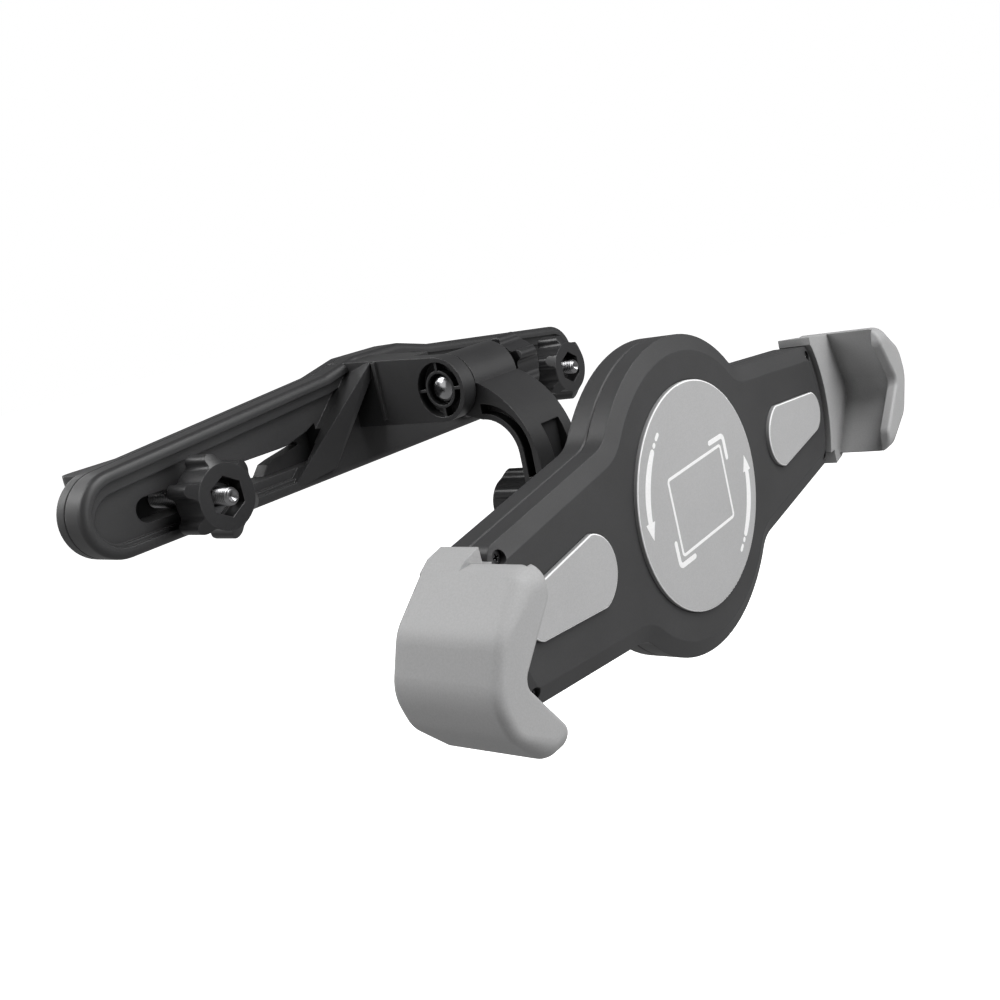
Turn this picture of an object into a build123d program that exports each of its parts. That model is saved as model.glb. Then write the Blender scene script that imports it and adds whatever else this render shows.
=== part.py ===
from build123d import *
from math import acos, atan2, cos, degrees, hypot, pi, radians, sin, tan
import os

os.makedirs("parts", exist_ok=True)

# Headrest tablet mount: a rail that clamps to two headrest posts, a tilting arm and a turning holder.
# Millimetres. +X is to the right seen from the front, +Y points back to the headrest, +Z is up.
# The origin is the middle of the rail's flat back, level with the clamp bolts.

# Rail outline, seen from the front
rail_left_x = -102.4
rail_right_x = 91.0
rail_end_z = 2.6
rail_end_r = 11.8
rail_hip_x = 24.0
rail_hip_z = 21.5
rail_hip_round = 6.0
rail_crown_x = 10.0
rail_crown_z = 24.6
rail_back_t = 5.0
rail_front_t = 8.0
rail_front_round = 2.0
rail_back_round = 1.5
seam_chamfer = 0.4
rail_t = rail_back_t + rail_front_t

# Recesses and slots in the wings
step_inset = 3.0
step_depth = 1.5
floor_inset = 4.0
floor_drop = 2.0
floor_depth = 3.2
slot_in_x = 34.0
slot_end_in = (5.5, 4.0)
left_slot = (rail_left_x + slot_end_in[0], -slot_in_x)
right_slot = (slot_in_x, rail_right_x - slot_end_in[1])
slot_h = 7.0
slot_rise = 0.9
window_in_x = 46.0
window_points = ((43.1, 4.5), (34.5, 6.7), (30.6, 8.4))
ramp_points = ((50.5, -2.7), (47.6, 0.4), (44.4, 1.2), (33.0, 3.2), (33.0, -2.7))

# Struts between the wings and the bracket
strut_foot_x = 47.5
strut_head_x = 10.6
strut_low_z = -8.4
strut_high_z = 24.0
strut_end_rise = 2.5
strut_sink = 0.8
strut_foot_ridge = (31.1, 2.5)
left_strut_tip = (22.4, 16.0, 11.2)
right_strut_tip = (18.0, 12.0, 6.0)

# Screws that join the rail halves
rail_screw_head_r = 2.5
rail_screw_r = 1.5
rail_screw_sink = 0.4
rail_screw_head_h = 1.6
rail_screw_length = 6.0
rail_end_screw_out = 1.0
rail_mid_screw = (27.0, 4.0)
rail_screw_points = [
    (rail_left_x - rail_end_screw_out, rail_end_z),
    (rail_right_x + rail_end_screw_out, rail_end_z),
    (-rail_mid_screw[0], rail_mid_screw[1]),
    rail_mid_screw,
]

# Tilt hinge: axis along X
hinge_y = -48.8
hinge_z = 11.7
boss_r = 9.5
boss_recess_r = 8.1
boss_recess_depth = 3.4
spoke_w = 0.9
spoke_sink = 0.6
hub_r = 5.5
cheek_t = 5.3
cheek_gap = 0.4
bracket_x1 = -3.5
bracket_skin = 3.0
bracket_front_y = -36.5
bracket_top_z = 23.7
bracket_low_z = 3.0
cheek_rib_y = -25.2
cheek_rib_w = 1.2
cheek_rib_rise = 0.8

# Metric hardware, 5 mm thread
bolt_r = 2.5
bolt_fit = 0.05
bolt_loose = 0.25
hex_across = 8.0
hex_gap = 0.15
nut_t = 4.0
hex_head_h = 3.4
dome_r = 4.5
dome_h = 2.8
dome_round = 2.2
dome_gap = 0.2
washer_r = 4.8
washer_t = 1.0

# Star knobs
clamp_knob_r = 12.0
clamp_knob_length = 10.5
hinge_knob_r = 10.0
hinge_knob_length = 10.5
swivel_knob_length = 12.0
knob_lobes = 6
ridge_share = 0.16
valley_share = 0.75
root_share = 0.14
knob_slope = 2.4
knob_start_angle = 36.0
knob_edge = 0.7
knob_hub_r = 4.8
knob_hub_length = 3.0
knob_lift = 3.2
pocket_depth = 9.0
pocket_across = 9.8
pocket_turn = 30.0

# Clamps on the headrest posts
clamp_x = 80.0
post_r = 6.05
post_offset = 11.5
hook_low_z = -8.4
hook_h = 20.6
hook_back_y = 23.0
hook_face_y = 6.5
hook_leg_y = 4.6
hook_outer = 18.0
hook_leg_w = 8.5
hook_inner = 21.5
hook_round = 5.0
bolt_stick_out = 2.2

# Arm
arm_w = 19.6
arm_gap = 0.3
barrel_r = 9.4
arm_bend_y = -58.0
arm_bend_z = -10.0
arm_in_r = 10.8
arm_front_y = -76.0
arm_outer_via = (-69.7, 2.8)
arm_outer_top = (-58.6, 11.6)
arm_outer_low_z = -13.0
arm_bulge = 0.4
groove_in_r = 12.5
groove_out_r = 15.4
groove_depth = 3.4
groove_low_z = -17.0
eye_r = 12.5
arm_pocket = (-3.0, 5.6, -15.0, -3.2)
arm_pocket_y = -72.2
cheek_x = -arm_w / 2 - cheek_gap - cheek_t

# Holder: x along its long side, y up in its face, z out towards the tablet
swivel_z = -26.7
holder_y = -118.2
holder_turn = 3.3
holder_t = 14.0
cover_t = 7.0
body_r = 43.3
body_end_x = 88.3
body_end_bow = 4.7
body_corner_x = body_end_x - body_end_bow
body_corner_y = 19.4
arm_root_x = 40.0
arm_root_y = 25.1
body_junction_round = 9.0
junction_band = (20.0, 50.0)
body_corner_round = 2.5
bevel_w = 4.4
bevel_h = 1.6
back_round = 2.2
skin = 2.2
front_skin = 2.4
trim_depth = 0.8
trim_rise = 1.2
trim_gap = 0.15
disc_r = 31.0
trim_round = 0.4
pad_disc_gap = 12.6
pad_end_gap = 8.1
pad_wide_bow = 7.4
pad_wide_y = 9.4
pad_small_bow = 4.2
pad_small_y = 6.2
pad_round = 2.4
corner_screw_in = (1.8, 3.0)
corner_screw_x = body_corner_x - corner_screw_in[0]
corner_screw_y = body_corner_y - corner_screw_in[1]
corner_screw_r = 1.0
corner_head_r = 1.7
corner_head_h = 1.4
corner_boss_r = 2.3
corner_screw_bite = 3.0

# Neck between the holder and the arm
neck_gap = 0.3
neck_r = 12.5
neck_wide_r = 13.6
flange_r = 21.5
flange_t = 3.0
neck_screw_ring_r = 17.5
neck_screw_r = 1.25
neck_screw_head_r = 2.3
neck_screw_head_h = 1.6
neck_screw_bite = 1.0
neck_round = 1.2
hole_spare = 0.5

# Claws
claw_back = 10.6
claw_gap = 0.4
lip_front = 18.0
lip_t = 3.0
lip_round = 1.0
claw_round = 4.6
claw_fold_r = 10.0
claw_end_r = 5.0
claw_inner_r = 8.0
lip_inner_r = 3.0
claw_back_round = 1.2
claw_root_in = 8.3
claw_cap = 3.0
lip_edge_reach = 15.2
lip_edge_slant = 0.44
claw_low_y = -19.2
claw_high_y = 19.6

# Rack and pinion that keep the claws together
tooth_module = 1.0
pinion_teeth = 12
pressure_angle = radians(25.0)
tooth_play = 0.08
flank_shares = (0.35, 0.7)
bar_t = 3.6
bar_front = 5.2
bar_outer_y = 13.2
bar_inner_x = -42.5
bar_gap = 0.3
bar_reach = 8.0
guide_x = 62.0
guide_length = 24.0
guide_w = 1.4
track_x = 54.0
track_length = 52.0
track_w = 1.6
collar_t = 1.2
rack_first = -13
rack_last = 2
pinion_post_r = 2.4
pinion_hub_r = 3.0
spring_in_r = 3.4
spring_out_r = 12.0
spring_turns = 4
spring_steps = 20
spring_strip = 0.4
spring_h = 2.2

pitch_r = tooth_module * pinion_teeth / 2
tooth_pitch = pi * tooth_module
tip_r = pitch_r + tooth_module
root_r = pitch_r - 1.25 * tooth_module
rack_tip_y = pitch_r - tooth_module
rack_root_y = pitch_r + 1.25 * tooth_module


def touch(point, centre, radius, side):
    """Point where the line from a point touches a circle; side is +1 or -1."""
    reach = hypot(point[0] - centre[0], point[1] - centre[1])
    heading = atan2(point[1] - centre[1], point[0] - centre[0])
    turn = heading + side * acos(radius / reach)
    return (centre[0] + radius * cos(turn), centre[1] + radius * sin(turn))


def keep(builder, name):
    """Label a finished piece and write its file."""
    builder.part.label = name
    export_step(builder.part, f"parts/{name}.step")


# Rail outline: two round ends, wings that rise to a crown in the middle
left_touch = touch((-rail_hip_x, rail_hip_z), (rail_left_x, rail_end_z), rail_end_r, 1)
right_touch = touch((rail_hip_x, rail_hip_z), (rail_right_x, rail_end_z), rail_end_r, -1)
rail_low_z = rail_end_z - rail_end_r


def rail_face(inset=0.0):
    """Outline of the rail, made smaller by the inset."""
    with BuildSketch() as face:
        with BuildLine():
            Polyline(
                (rail_left_x, rail_low_z),
                (rail_right_x, rail_low_z),
                right_touch,
                (rail_hip_x, rail_hip_z),
                (rail_crown_x, rail_crown_z),
                (-rail_crown_x, rail_crown_z),
                (-rail_hip_x, rail_hip_z),
                left_touch,
                close=True,
            )
        make_face()
        with Locations((rail_left_x, rail_end_z), (rail_right_x, rail_end_z)):
            Circle(rail_end_r)
        crown = face.vertices().filter_by_position(Axis.Y, rail_hip_z - 1, rail_crown_z + 1)
        fillet(crown, rail_hip_round)
        if inset:
            offset(amount=-inset, kind=Kind.INTERSECTION, mode=Mode.REPLACE)
    return face.sketch


strut_slope = (strut_high_z - strut_low_z) / (strut_foot_x - strut_head_x)


def wing_recess(inset, drop):
    """Both wings of the inset outline, cut off along the struts."""
    peak_z = strut_high_z + strut_head_x * strut_slope
    deep_z = rail_low_z - rail_end_r
    with BuildSketch() as pocket:
        add(rail_face(inset))
        add(rail_face(inset).moved(Location((0, -drop, 0))), mode=Mode.INTERSECT)
        with BuildLine():
            Polyline(
                (-(peak_z - deep_z) / strut_slope, deep_z),
                ((peak_z - deep_z) / strut_slope, deep_z),
                (0, peak_z),
                close=True,
            )
        make_face(mode=Mode.SUBTRACT)
    return pocket.sketch


def slots():
    """The two slots that the clamp bolts slide in."""
    with BuildSketch() as openings:
        for start, end in (left_slot, right_slot):
            with Locations(((start + end) / 2, slot_rise)):
                SlotOverall(end - start, slot_h)
    return openings.sketch


def slot_ramps():
    """Areas where the rear half's slots narrow towards their inner ends."""
    with BuildSketch() as ramps:
        for side in (-1, 1):
            with BuildLine():
                Polyline(*((side * x, z) for x, z in ramp_points), close=True)
            make_face()
    return ramps.sketch


def windows():
    """Openings where the front half's slots widen upwards behind the struts."""
    with BuildSketch() as openings:
        for side in (-1, 1):
            end_x = window_points[-1][0]
            outline = [(window_in_x, slot_rise - slot_h / 2), (window_in_x, slot_rise + slot_h / 2)]
            outline += [*window_points, (end_x, slot_rise - slot_h / 2)]
            with BuildLine():
                Polyline(*((side * x, z) for x, z in outline), close=True)
            make_face()
    return openings.sketch


# Rear half of the rail
with BuildPart() as rail_back:
    with BuildSketch(Plane.XZ):
        add(rail_face())
    extrude(amount=rail_back_t)
    rear_edges = rail_back.faces().sort_by(Axis.Y)[-1].outer_wire().edges()
    fillet(rear_edges, rail_back_round)
    seam_edges = rail_back.faces().sort_by(Axis.Y)[0].outer_wire().edges()
    chamfer(seam_edges, seam_chamfer)
    with BuildSketch(Plane.XZ):
        add(slots())
        add(slot_ramps(), mode=Mode.SUBTRACT)
        with Locations(*rail_screw_points):
            Circle(rail_screw_r)
    extrude(amount=rail_back_t, mode=Mode.SUBTRACT)
    with BuildSketch(Plane.XZ):
        with Locations(*rail_screw_points):
            Circle(rail_screw_head_r + trim_gap)
    extrude(amount=rail_screw_sink + rail_screw_head_h, mode=Mode.SUBTRACT)
keep(rail_back, "rail_back")

# Bracket profile: the hinge boss joined to the rail by tangent lines
root_top = (-rail_back_t, bracket_top_z)
root_low = (-rail_back_t, bracket_low_z)
boss_top = touch(root_top, (hinge_y, hinge_z), boss_r, 1)
boss_low = touch(root_low, (hinge_y, hinge_z), boss_r, -1)


def bracket_face():
    """Side view of the bracket: x is Y and y is Z."""
    with BuildSketch() as side:
        with BuildLine():
            Polyline(root_low, root_top, boss_top, boss_low, close=True)
        make_face()
        with Locations((hinge_y, hinge_z)):
            Circle(boss_r)
    return side.sketch


def strut_corners(side, tip_z, ridge_x, rise):
    """Corners of the wedge from a wing up to the bracket; its ridge climbs forwards to the tip."""
    root_y = -rail_t + strut_sink
    low_x, low_rise = strut_foot_ridge
    low_z = strut_low_z + strut_end_rise
    tip_foot_x = strut_foot_x - (tip_z - strut_low_z) / strut_slope
    corners = [
        (strut_foot_x, root_y, strut_low_z),
        (low_x, root_y, low_z),
        (low_x, -rail_t - low_rise, low_z),
        (tip_foot_x, root_y, tip_z),
        (ridge_x, -rail_t - rise, tip_z),
        (min(tip_foot_x, ridge_x), -rail_t - rise, tip_z),
    ]
    return [(side * x, y, z) for x, y, z in corners]


# Front half of the rail with its bracket
with BuildPart() as rail_front:
    with BuildSketch(Plane.XZ.offset(rail_back_t)):
        add(rail_face())
    extrude(amount=rail_front_t)
    front_edges = rail_front.faces().sort_by(Axis.Y)[0].outer_wire().edges()
    fillet(front_edges, rail_front_round)
    seam_edges = rail_front.faces().sort_by(Axis.Y)[-1].outer_wire().edges()
    chamfer(seam_edges, seam_chamfer)
    with BuildSketch(Plane.XZ.offset(rail_t)):
        add(wing_recess(step_inset, 0.0))
    extrude(amount=-step_depth, mode=Mode.SUBTRACT)
    with BuildSketch(Plane.XZ.offset(rail_t)):
        add(wing_recess(floor_inset, floor_drop))
    extrude(amount=-floor_depth, mode=Mode.SUBTRACT)
    with BuildSketch(Plane.XZ.offset(rail_back_t)):
        add(windows())
    extrude(amount=rail_front_t, mode=Mode.SUBTRACT)
    ConvexPolyhedron(strut_corners(-1, *left_strut_tip))
    ConvexPolyhedron(strut_corners(1, *right_strut_tip))
    # Cheek that carries the hinge
    with BuildSketch(Plane.YZ.offset(cheek_x)):
        add(bracket_face())
        with Locations((hinge_y, hinge_z)):
            Circle(bolt_r + bolt_fit, mode=Mode.SUBTRACT)
    extrude(amount=cheek_t)
    # Top and bottom skins behind the arm's barrel
    with BuildSketch(Plane.YZ.offset(cheek_x + cheek_t)):
        add(bracket_face())
        with Locations((bracket_front_y / 2, hinge_z)):
            Rectangle(-bracket_front_y, 4 * boss_r, mode=Mode.INTERSECT)
        add(offset(bracket_face(), -bracket_skin, mode=Mode.PRIVATE), mode=Mode.SUBTRACT)
    extrude(amount=bracket_x1 - cheek_x - cheek_t)
    # Thin upright rib on the cheek
    with BuildSketch(Plane.YZ.offset(cheek_x)):
        with Locations((cheek_rib_y, (bracket_low_z + bracket_top_z) / 2)):
            Rectangle(cheek_rib_w, bracket_top_z - bracket_low_z - bracket_skin)
    extrude(amount=-cheek_rib_rise)
    # Spoked recess around the screw head
    with BuildSketch(Plane.YZ.offset(cheek_x)):
        with Locations((hinge_y, hinge_z)):
            Circle(boss_recess_r)
    extrude(amount=spoke_sink, mode=Mode.SUBTRACT)
    with BuildSketch(Plane.YZ.offset(cheek_x + spoke_sink)):
        with Locations((hinge_y, hinge_z)):
            Circle(boss_recess_r)
            Circle(hub_r, mode=Mode.SUBTRACT)
            Rectangle(2 * boss_r, spoke_w, mode=Mode.SUBTRACT)
            Rectangle(spoke_w, 2 * boss_r, mode=Mode.SUBTRACT)
            Circle(dome_r + dome_gap)
    extrude(amount=boss_recess_depth - spoke_sink, mode=Mode.SUBTRACT)
    # Slots and blind screw holes
    with BuildSketch(Plane.XZ.offset(rail_back_t)):
        add(slots())
    extrude(amount=rail_front_t, mode=Mode.SUBTRACT)
    with BuildSketch(Plane.XZ.offset(rail_back_t)):
        with Locations(*rail_screw_points):
            Circle(rail_screw_r)
    extrude(amount=rail_screw_sink + rail_screw_head_h + rail_screw_length - rail_back_t, mode=Mode.SUBTRACT)
keep(rail_front, "rail_front")

# Screws that join the rail halves, as one group
with BuildPart() as rail_screws:
    with BuildSketch(Plane.XZ.offset(rail_screw_sink)):
        with Locations(*rail_screw_points):
            Circle(rail_screw_head_r)
    extrude(amount=rail_screw_head_h)
    with BuildSketch(Plane.XZ.offset(rail_screw_sink + rail_screw_head_h)):
        with Locations(*rail_screw_points):
            Circle(rail_screw_r - bolt_fit)
    extrude(amount=rail_screw_length - bolt_fit)
keep(rail_screws, "rail_screws")


def knob_face(lobe_r):
    """Outline of a star knob: round ridges on a round core, blended by hollow arcs."""
    ridge_r = ridge_share * lobe_r
    ridge_c = lobe_r - ridge_r
    core_r = valley_share * lobe_r
    root_r = root_share * lobe_r
    root_c = core_r + root_r
    reach = ridge_r + root_r
    root_turn = acos((ridge_c**2 + root_c**2 - reach**2) / (2 * ridge_c * root_c))
    root_x, root_y = root_c * cos(root_turn), root_c * sin(root_turn)
    meet_x = ridge_c + (root_x - ridge_c) * ridge_r / reach
    meet_y = root_y * ridge_r / reach
    inward = (ridge_c / 2 - root_x, -root_y)
    deep = root_r / hypot(*inward)
    via_x, via_y = root_x + inward[0] * deep, root_y + inward[1] * deep

    def at(x, y, turn):
        return (x * cos(turn) - y * sin(turn), x * sin(turn) + y * cos(turn))

    core_x, core_y = at(core_r, 0, root_turn)
    step = 2 * pi / knob_lobes
    with BuildSketch() as face:
        with BuildLine():
            for lobe in range(knob_lobes):
                turn = radians(knob_start_angle) + step * lobe
                low, high = (core_x, -core_y), (meet_x, -meet_y)
                ThreePointArc(at(*low, turn), at(via_x, -via_y, turn), at(*high, turn))
                ThreePointArc(at(*high, turn), at(lobe_r, 0, turn), at(meet_x, meet_y, turn))
                ThreePointArc(at(meet_x, meet_y, turn), at(via_x, via_y, turn), at(core_x, core_y, turn))
                ThreePointArc(
                    at(core_x, core_y, turn),
                    at(core_r, 0, turn + step / 2),
                    at(*low, turn + step),
                )
        make_face()
    return face.sketch


def star_knob(plane, lobe_r, length, hub_length):
    """Star knob on a hub; the plane is its seat and points away from what it clamps."""
    top = hub_length + length
    with BuildPart() as knob:
        with BuildSketch(plane.offset(hub_length)):
            add(knob_face(lobe_r))
        extrude(amount=length)
        # The ridges slope down to the core at the front and are broken at the back
        profile = Plane(origin=plane.origin, x_dir=plane.x_dir, z_dir=-plane.y_dir)
        with BuildSketch(profile):
            with BuildLine():
                Polyline(
                    (0, hub_length),
                    (lobe_r - knob_edge, hub_length),
                    (lobe_r, hub_length + knob_edge),
                    (lobe_r, top - knob_slope),
                    (valley_share * lobe_r, top),
                    (0, top),
                    close=True,
                )
            make_face()
        revolve(axis=Axis(plane.origin, plane.z_dir), mode=Mode.INTERSECT)
        with BuildSketch(plane):
            Circle(knob_hub_r)
        extrude(amount=hub_length)
        with BuildSketch(plane):
            Circle(bolt_r + bolt_loose)
        extrude(amount=top, mode=Mode.SUBTRACT)
        # Nut seat at the bottom of a wider hex pocket
        with BuildSketch(plane.offset(top)):
            RegularPolygon(hex_across / 2 + hex_gap, 6, major_radius=False, rotation=pocket_turn)
        extrude(amount=-pocket_depth, mode=Mode.SUBTRACT)
        with BuildSketch(plane.offset(top)):
            RegularPolygon(pocket_across / 2, 6, major_radius=False, rotation=pocket_turn)
        extrude(amount=nut_t - pocket_depth, mode=Mode.SUBTRACT)
    return knob


def hex_nut(plane):
    """Hex nut standing on the plane."""
    with BuildPart() as nut:
        with BuildSketch(plane):
            RegularPolygon(hex_across / 2, 6, major_radius=False, rotation=pocket_turn)
            Circle(bolt_r + bolt_fit, mode=Mode.SUBTRACT)
        extrude(amount=nut_t)
    return nut


def hex_bolt(plane, length):
    """Hex bolt; the plane is under its head and points along the shank."""
    with BuildPart() as bolt:
        with BuildSketch(plane):
            RegularPolygon(hex_across / 2, 6, major_radius=False)
        extrude(amount=-hex_head_h)
        with BuildSketch(plane):
            Circle(bolt_r)
        extrude(amount=length)
        tip = bolt.edges().filter_by(GeomType.CIRCLE).sort_by(Axis(plane.origin, plane.z_dir))[-1]
        chamfer(tip, knob_edge)
    return bolt


def flat_washer(plane):
    """Flat washer lying on the plane."""
    with BuildPart() as washer:
        with BuildSketch(plane):
            Circle(washer_r)
            Circle(bolt_r + bolt_loose, mode=Mode.SUBTRACT)
        extrude(amount=washer_t)
    return washer


# Clamps: hook, bolt, washer, knob and nut on each wing
floor_y = -rail_t + floor_depth
knob_seat_y = floor_y - washer_t
clamp_hub = floor_depth - washer_t + knob_lift
knob_front_y = knob_seat_y - clamp_hub - clamp_knob_length
clamp_nut_y = knob_front_y + pocket_depth
bolt_seat_y = hook_back_y - hex_head_h


def hook(side):
    """Jaw behind the post: a leg on the outside, a round seat for the post on the inside."""
    inward = -side
    bolt_x = side * clamp_x
    with BuildPart() as jaw:
        with BuildSketch(Plane.XY.offset(hook_low_z)) as plan:
            with BuildLine():
                Polyline(
                    (bolt_x - inward * hook_outer, hook_leg_y),
                    (bolt_x - inward * (hook_outer - hook_leg_w), hook_leg_y),
                    (bolt_x - inward * (hook_outer - hook_leg_w), hook_face_y),
                    (bolt_x + inward * hook_inner, hook_face_y),
                    (bolt_x + inward * hook_inner, hook_back_y),
                    (bolt_x - inward * hook_outer, hook_back_y),
                    close=True,
                )
            make_face()
            fillet(plan.vertices().group_by(Axis.Y)[-1], hook_round)
            with Locations((bolt_x + inward * post_offset, post_r)):
                Circle(post_r, mode=Mode.SUBTRACT)
        extrude(amount=hook_h)
        with BuildSketch(Plane.XZ):
            with Locations((bolt_x, 0)):
                Circle(bolt_r + bolt_fit)
        extrude(amount=-hook_back_y, mode=Mode.SUBTRACT)
        with BuildSketch(Plane.XZ.offset(-bolt_seat_y)):
            with Locations((bolt_x, 0)):
                RegularPolygon(hex_across / 2 + hex_gap, 6, major_radius=False)
        extrude(amount=-hook_back_y, mode=Mode.SUBTRACT)
    return jaw


for side, word in ((-1, "left"), (1, "right")):
    bolt_x = side * clamp_x
    front = Plane(origin=(bolt_x, 0, 0), x_dir=(1, 0, 0), z_dir=(0, -1, 0))
    keep(hook(side), f"{word}_hook")
    keep(hex_bolt(front.offset(-bolt_seat_y), bolt_seat_y - knob_front_y + bolt_stick_out), f"{word}_bolt")
    keep(flat_washer(front.offset(-floor_y)), f"{word}_washer")
    keep(star_knob(front.offset(-knob_seat_y), clamp_knob_r, clamp_knob_length, clamp_hub), f"{word}_knob")
    keep(hex_nut(front.offset(-clamp_nut_y)), f"{word}_nut")

# Tilt hinge hardware
dome_seat_x = cheek_x + boss_recess_depth
hinge_knob_x = arm_w / 2 + arm_gap
hinge_nut_x = hinge_knob_x + knob_hub_length + hinge_knob_length - pocket_depth
hinge_axis = Plane(origin=(0, hinge_y, hinge_z), x_dir=(0, 1, 0), z_dir=(1, 0, 0))
with BuildPart() as hinge_screw:
    with BuildSketch(hinge_axis.offset(dome_seat_x)):
        Circle(dome_r)
    extrude(amount=-dome_h)
    fillet(hinge_screw.faces().sort_by(Axis.X)[0].edges(), dome_round)
    with BuildSketch(hinge_axis.offset(dome_seat_x)):
        Circle(bolt_r)
    extrude(amount=hinge_nut_x + nut_t + bolt_stick_out - dome_seat_x)
keep(hinge_screw, "hinge_screw")
hinge_seat = hinge_axis.offset(hinge_knob_x)
keep(star_knob(hinge_seat, hinge_knob_r, hinge_knob_length, knob_hub_length), "hinge_knob")
keep(hex_nut(hinge_axis.offset(hinge_nut_x)), "hinge_nut")

# Arm: barrel on the hinge, grooved bend, flat eye for the swivel bolt
arm_rear_y = arm_bend_y - arm_in_r
with BuildPart() as arm:
    with BuildSketch(Plane.YZ.offset(-arm_w / 2)):
        with BuildLine():
            low_in = Line((arm_rear_y, swivel_z), (arm_rear_y, arm_bend_z))
            bend_in = RadiusArc(low_in @ 1, (arm_bend_y, arm_bend_z + arm_in_r), arm_in_r)
            Polyline(bend_in @ 1, (hinge_y, hinge_z - barrel_r + 1), (hinge_y, hinge_z), arm_outer_top)
            bend_out = ThreePointArc(arm_outer_top, arm_outer_via, (arm_front_y + arm_bulge, arm_outer_low_z))
            Polyline(bend_out @ 1, (arm_front_y, swivel_z), low_in @ 0)
        make_face()
        with Locations((hinge_y, hinge_z)):
            Circle(barrel_r)
    extrude(amount=arm_w)
    with BuildSketch(Plane.XZ.offset(-arm_rear_y)):
        with Locations((0, swivel_z)):
            Circle(eye_r)
    extrude(amount=arm_rear_y - arm_front_y)
    # Side grooves that follow the bend
    for start, way in ((-arm_w / 2, 1), (arm_w / 2, -1)):
        with BuildSketch(Plane.YZ.offset(start)):
            with Locations((arm_bend_y, arm_bend_z)):
                Circle(groove_out_r)
                Circle(groove_in_r, mode=Mode.SUBTRACT)
            with Locations((arm_bend_y - groove_out_r, arm_bend_z + groove_out_r)):
                Rectangle(2 * groove_out_r, 2 * groove_out_r, mode=Mode.INTERSECT)
            with Locations((arm_bend_y - (groove_in_r + groove_out_r) / 2, (arm_bend_z + groove_low_z) / 2)):
                Rectangle(groove_out_r - groove_in_r, arm_bend_z - groove_low_z)
        extrude(amount=way * groove_depth, mode=Mode.SUBTRACT)
    # Pocket in the front of the bend
    with BuildSketch(Plane.XZ.offset(-arm_pocket_y)):
        with BuildLine():
            Polyline(
                (arm_pocket[0], arm_pocket[2]),
                (arm_pocket[1], arm_pocket[2]),
                (arm_pocket[1], arm_pocket[3]),
                (arm_pocket[0], arm_pocket[3]),
                close=True,
            )
        make_face()
    extrude(amount=arm_rear_y - arm_front_y, mode=Mode.SUBTRACT)
    with BuildSketch(hinge_axis.offset(-arm_w / 2)):
        Circle(bolt_r + bolt_fit)
    extrude(amount=arm_w, mode=Mode.SUBTRACT)
    with BuildSketch(Plane.XZ.offset(-arm_rear_y)):
        with Locations((0, swivel_z)):
            Circle(bolt_r + bolt_fit)
    extrude(amount=arm_rear_y - arm_front_y, mode=Mode.SUBTRACT)
keep(arm, "arm")

# Holder frame: turned a little about its own normal
holder = Plane(
    origin=(0, holder_y, swivel_z),
    x_dir=(cos(radians(holder_turn)), 0, sin(radians(holder_turn))),
    z_dir=(0, -1, 0),
)
back_y = holder_y + holder_t

# Neck with a flange on the holder's back
neck_rear_y = arm_front_y - neck_gap
neck_front_y = back_y
with BuildPart() as swivel_neck:
    with BuildSketch(Plane.YZ):
        with BuildLine():
            Polyline(
                (neck_rear_y, swivel_z),
                (neck_rear_y, swivel_z + neck_r),
                (neck_front_y + flange_t, swivel_z + neck_wide_r),
                (neck_front_y + flange_t, swivel_z + flange_r),
                (neck_front_y, swivel_z + flange_r),
                (neck_front_y, swivel_z),
                close=True,
            )
        make_face()
    revolve(axis=Axis((0, 0, swivel_z), (0, 1, 0)))
    inner_corner = swivel_neck.edges().filter_by(GeomType.CIRCLE).filter_by(
        lambda edge: abs(edge.radius - neck_wide_r) < 0.01
    )
    fillet(inner_corner, neck_round)
    with BuildSketch(holder.offset(-holder_t)):
        Circle(bolt_r + bolt_fit)
    extrude(amount=neck_front_y - neck_rear_y, mode=Mode.SUBTRACT)
    with BuildSketch(holder.offset(-holder_t)):
        RegularPolygon(hex_across / 2 + hex_gap, 6, major_radius=False)
    extrude(amount=-hex_head_h - hex_gap, mode=Mode.SUBTRACT)
    with BuildSketch(holder.offset(-holder_t)):
        with PolarLocations(neck_screw_ring_r, 4):
            Circle(neck_screw_r + bolt_fit)
    extrude(amount=-flange_t, mode=Mode.SUBTRACT)
keep(swivel_neck, "swivel_neck")
with BuildPart() as neck_screws:
    with BuildSketch(holder.offset(-holder_t - flange_t)):
        with PolarLocations(neck_screw_ring_r, 4):
            Circle(neck_screw_head_r)
    extrude(amount=-neck_screw_head_h)
    with BuildSketch(holder.offset(-holder_t - flange_t)):
        with PolarLocations(neck_screw_ring_r, 4):
            Circle(neck_screw_r)
    extrude(amount=flange_t + skin + neck_screw_bite)
keep(neck_screws, "neck_screws")

# Swivel bolt, washer, knob and nut behind the arm's eye
swivel_washer_y = arm_rear_y + bolt_fit
swivel_knob_y = swivel_washer_y + washer_t
swivel_nut_y = swivel_knob_y + knob_hub_length + swivel_knob_length - pocket_depth
rearward = Plane(origin=(0, 0, swivel_z), x_dir=holder.x_dir, z_dir=(0, 1, 0))
bolt_seat = neck_front_y + hex_head_h + hex_gap / 2
keep(hex_bolt(rearward.offset(bolt_seat), swivel_nut_y + nut_t + bolt_stick_out - bolt_seat), "swivel_bolt")
keep(flat_washer(rearward.offset(swivel_washer_y)), "swivel_washer")
swivel_seat = rearward.offset(swivel_knob_y)
keep(star_knob(swivel_seat, hinge_knob_r, swivel_knob_length, knob_hub_length), "swivel_knob")
keep(hex_nut(rearward.offset(swivel_nut_y)), "swivel_nut")


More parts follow.
